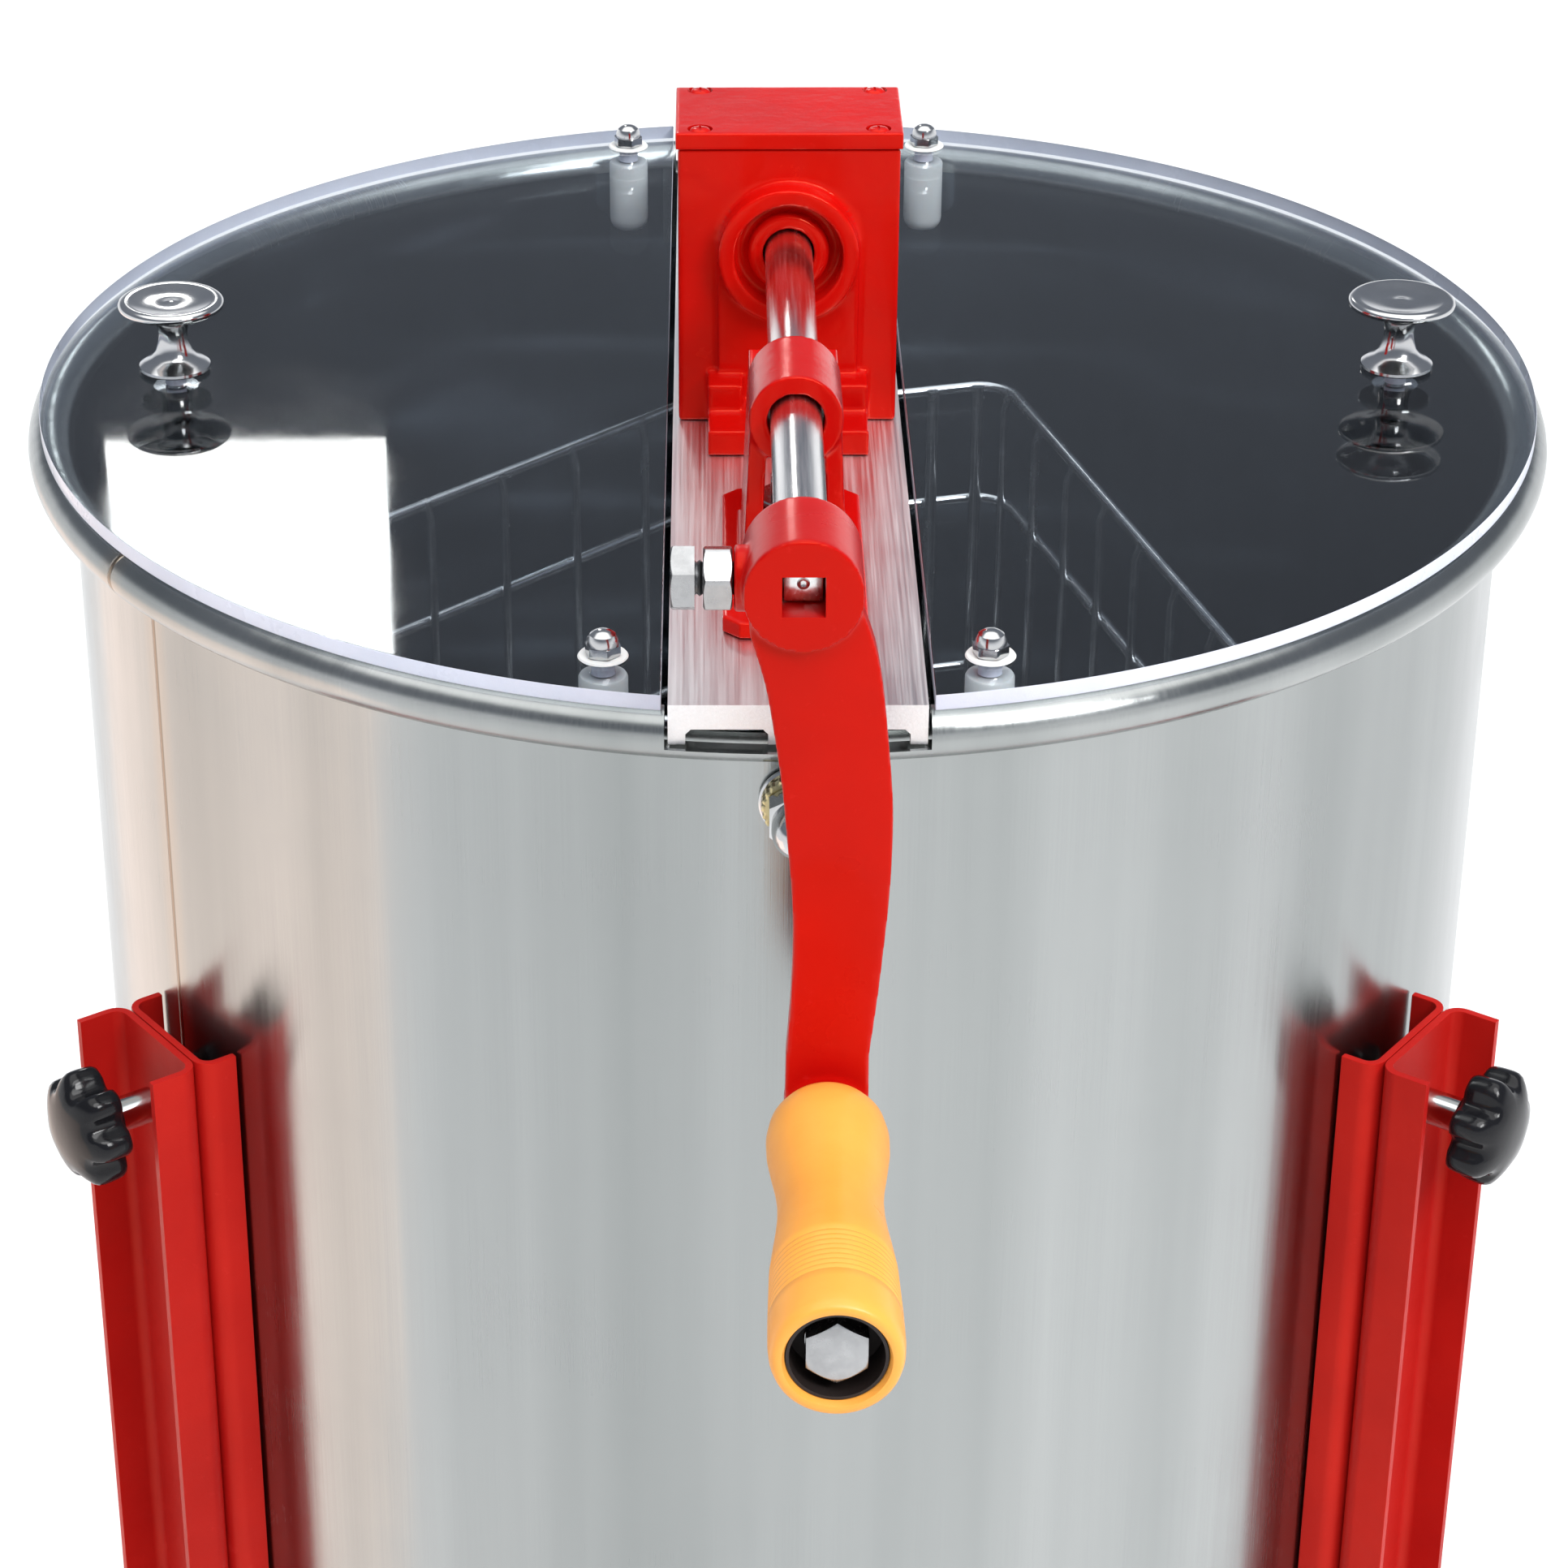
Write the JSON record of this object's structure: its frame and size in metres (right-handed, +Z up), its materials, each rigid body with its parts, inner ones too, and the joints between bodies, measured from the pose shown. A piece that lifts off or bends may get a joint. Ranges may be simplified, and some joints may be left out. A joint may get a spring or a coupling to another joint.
{
  "type": "honey extractor",
  "caption": "Hand-cranked centrifugal honey extractor: steel drum on channel legs, geared crank over a wire basket for frames, clear half lids and a honey gate.",
  "frame": {"origin": "centre of the bounding box, on the floor under the feet", "axes": "+Z up along the drum axis, -Y towards the crank handle (front), +X to the right seen from the front"},
  "size_m": [0.4, 0.562, 1.0006],
  "materials": {
    "drum_steel": "polished stainless sheet",
    "steel": "bright steel",
    "bright": "plated fasteners",
    "aluminium": "satin extrusion",
    "red_gloss": "gloss enamel on casting",
    "leg_red": "powder coat on folded sheet",
    "black_plastic": "gloss black",
    "bronze": "bearing bronze",
    "gear_iron": "machined",
    "grip_plastic": "orange yellow",
    "clear": "clear acrylic",
    "nylon": "white nylon"
  },
  "bodies": {
    "drum": {"drum_shell": "drum_steel", "drum_floor": "drum_steel", "bottom_bearing": "bronze", "crossbar": "aluminium", "bar_clip_front": "steel", "bar_clip_back": "steel", "clamp_stud_front": "bright", "clamp_stud_back": "bright", "gearbox_housing": "red_gloss", "gearbox_cover": "red_gloss", "cover_screw_1": "red_gloss", "cover_screw_2": "red_gloss", "cover_screw_3": "red_gloss", "cover_screw_4": "red_gloss", "shaft_bracket": "red_gloss", "bracket_bolt_rear": "bright", "bracket_bolt_front": "bright", "leg_bracket_1": "leg_red", "leg_bracket_2": "leg_red", "leg_bracket_3": "leg_red", "leg_1": "leg_red", "leg_2": "leg_red", "leg_3": "leg_red", "leg_foot_1": "black_plastic", "leg_foot_2": "black_plastic", "leg_foot_3": "black_plastic", "gate_body": "bright"},
    "basket": {"basket_shaft": "steel", "pinion_gear": "gear_iron", "basket_core": "steel", "bottom_spider": "steel", "basket_grille_1": "steel", "basket_grille_2": "steel", "basket_grille_3": "steel", "basket_corner_1": "steel", "basket_corner_2": "steel", "basket_corner_3": "steel"},
    "crank": {"crank_shaft": "steel", "drive_gear": "gear_iron", "crank_arm": "red_gloss", "clamp_bolt": "bright", "clamp_nut": "bright", "handle_bolt": "bright"},
    "grip": {"handle_grip": "grip_plastic"},
    "lid_l": {"lid_left": "clear", "lid_knob_left": "bright", "lid_peg_left_front": "nylon", "lid_peg_left_back": "nylon"},
    "lid_r": {"lid_right": "clear", "lid_knob_right": "bright", "lid_peg_right_front": "nylon", "lid_peg_right_back": "nylon"},
    "gate": {"gate_flap": "bright"},
    "gate_nut": {"gate_wing_nut": "bright"},
    "body_leg_knob_1_upper": {"leg_knob_1_upper": "black_plastic"},
    "body_leg_knob_1_lower": {"leg_knob_1_lower": "black_plastic"},
    "body_leg_knob_2_upper": {"leg_knob_2_upper": "black_plastic"},
    "body_leg_knob_2_lower": {"leg_knob_2_lower": "black_plastic"},
    "body_leg_knob_3_upper": {"leg_knob_3_upper": "black_plastic"},
    "body_leg_knob_3_lower": {"leg_knob_3_lower": "black_plastic"}
  },
  "joints": [
    {"name": "basket_spin", "type": "hinge", "parent": "drum", "child": "basket", "pos_m": [0, 0.051, 0.6], "axis": [0, 0, 1], "continuous": true},
    {"name": "crank_spin", "type": "hinge", "parent": "drum", "child": "crank", "pos_m": [0, -0.069, 0.9693], "axis": [0, 1, 0], "continuous": true},
    {"name": "grip_spin", "type": "hinge", "parent": "crank", "child": "grip", "pos_m": [0.0065, -0.234, 0.839], "axis": [0, 1, 0], "continuous": true},
    {"name": "lid_left_lift", "type": "slide", "parent": "drum", "child": "lid_l", "axis": [0, 0, 1], "range_m": [0, 0.15]},
    {"name": "lid_right_lift", "type": "slide", "parent": "drum", "child": "lid_r", "axis": [0, 0, 1], "range_m": [0, 0.15]},
    {"name": "gate_swing", "type": "hinge", "parent": "drum", "child": "gate", "pos_m": [0, -0.1645, 0.389], "axis": [0, 1, 0], "range_deg": [0, 110]},
    {"name": "gate_nut_spin", "type": "hinge", "parent": "drum", "child": "gate_nut", "pos_m": [0, -0.1645, 0.389], "axis": [0, 1, 0], "continuous": true},
    {"name": "leg_knob_1_upper_spin", "type": "hinge", "parent": "drum", "child": "body_leg_knob_1_upper", "pos_m": [-0.1796, -0.07949, 0.769], "axis": [-0.809, -0.5878, 0], "continuous": true},
    {"name": "leg_knob_1_lower_spin", "type": "hinge", "parent": "drum", "child": "body_leg_knob_1_lower", "pos_m": [-0.1796, -0.07949, 0.42], "axis": [-0.809, -0.5878, 0], "continuous": true},
    {"name": "leg_knob_2_upper_spin", "type": "hinge", "parent": "drum", "child": "body_leg_knob_2_upper", "pos_m": [0.1796, -0.07949, 0.769], "axis": [0.809, -0.5878, 0], "continuous": true},
    {"name": "leg_knob_2_lower_spin", "type": "hinge", "parent": "drum", "child": "body_leg_knob_2_lower", "pos_m": [0.1796, -0.07949, 0.42], "axis": [0.809, -0.5878, 0], "continuous": true},
    {"name": "leg_knob_3_upper_spin", "type": "hinge", "parent": "drum", "child": "body_leg_knob_3_upper", "pos_m": [0, 0.273, 0.769], "axis": [0, 1, 0], "continuous": true},
    {"name": "leg_knob_3_lower_spin", "type": "hinge", "parent": "drum", "child": "body_leg_knob_3_lower", "pos_m": [0, 0.273, 0.42], "axis": [0, 1, 0], "continuous": true}
  ],
  "couplings": [
    {"joint": "crank_spin", "follows": "basket_spin", "ratio": -0.40741}
  ]
}
